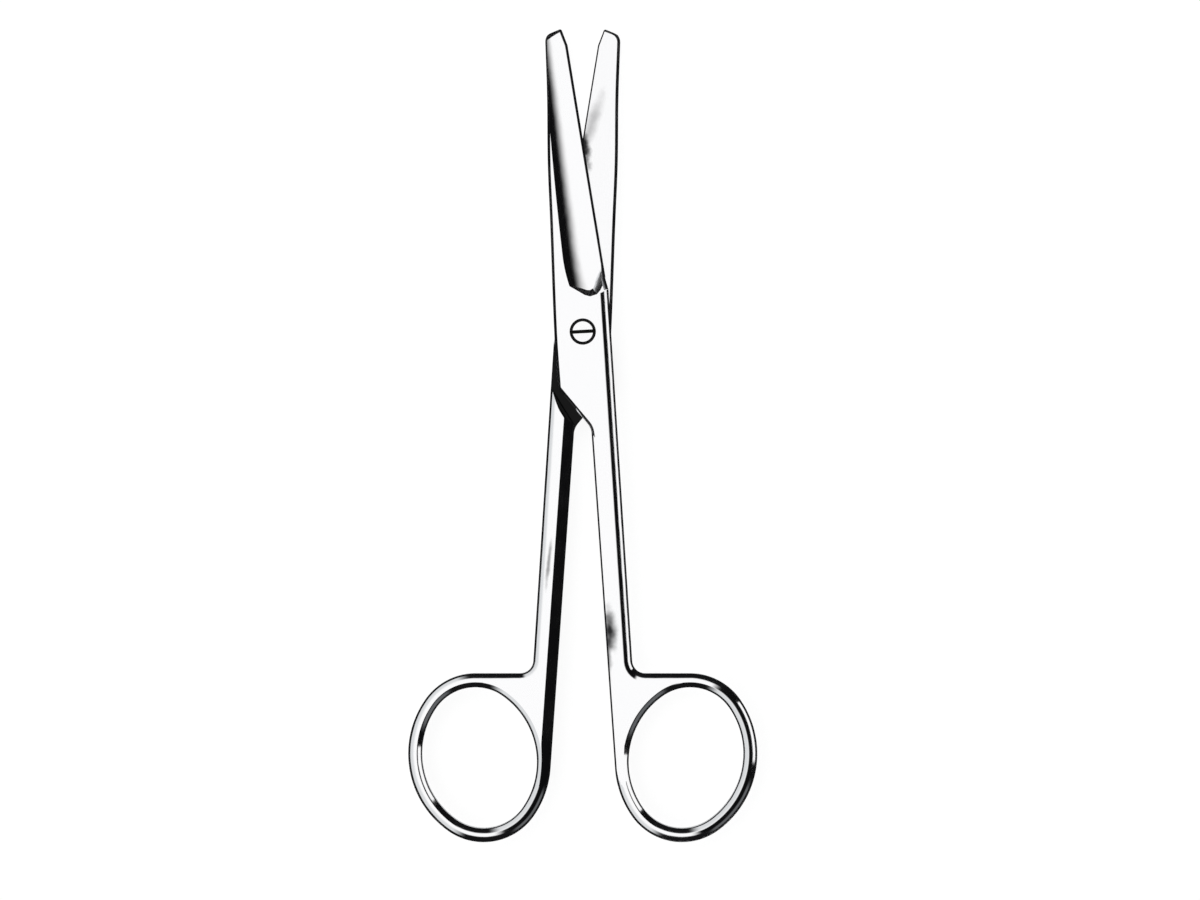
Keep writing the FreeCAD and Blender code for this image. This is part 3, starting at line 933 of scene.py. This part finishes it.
def shaded_slot():
    """Floor and walls of the screw's slot, milled, with painted shade in it.

    The eye sees it black with painted shade, mottled and rough."""
    material, tree, shader, place = new_steel("milled_slot_with_painted_shade")
    slot_mottle = add(
        tree, "ShaderNodeTexNoise", {"Vector": place}, Scale=1 / SLOT_MOTTLE / MM, Detail=2.0,
    ).outputs["Fac"]
    mottled(tree, shader, slot_mottle, "111111", "232322")
    roughened(tree, shader, slot_mottle, 0.4, 0.65)
    relief(tree, shader, (slot_mottle, 0.01))
    return material


def table_top():
    """Matt white paper. It glows where it is looked at or mirrored, so that it shows as white."""
    bpy.ops.mesh.primitive_plane_add(size=6)
    floor = bpy.context.object
    floor.name = "table_top"
    material = bpy.data.materials.new("matt_white_paper")
    material.use_nodes = True
    tree = material.node_tree
    tree.nodes.clear()
    path = add(tree, "ShaderNodeLightPath").outputs
    seen = path["Is Camera Ray"]
    for ray in ("Is Glossy Ray", "Is Transmission Ray"):
        seen = add(tree, "ShaderNodeMath", {0: seen, 1: path[ray]}, operation="MAXIMUM").outputs[0]
    paper = add(tree, "ShaderNodeBsdfDiffuse", Color=linear("8c8c8c")).outputs[0]
    glow = add(tree, "ShaderNodeEmission", {"Strength": seen}, Color=linear("eeeeee")).outputs[0]
    both = add(tree, "ShaderNodeAddShader", {0: paper, 1: glow}).outputs[0]
    add(tree, "ShaderNodeOutputMaterial", {"Surface": both})
    floor.data.materials.append(material)


def camera():
    """Looks straight down on the scissors, as the photograph does."""
    data = bpy.data.cameras.new("camera")
    data.lens = LENS
    data.sensor_width = SENSOR
    data.clip_end = 20
    eye = bpy.data.objects.new("camera", data)
    eye.location = (FRAME_CENTRE[0] * MM, FRAME_CENTRE[1] * MM, FRAME_WIDTH * MM * LENS / SENSOR)
    bpy.context.scene.collection.objects.link(eye)
    bpy.context.scene.camera = eye


bpy.context.scene.view_settings.view_transform = "Standard"
halves([polished_steel(), inner_steel(), hollow_steel(), drilled_steel(), unbuffed_steel(), brushed_steel()])
screw([turned_steel(), shaded_slot()])
studio()
table_top()
camera()
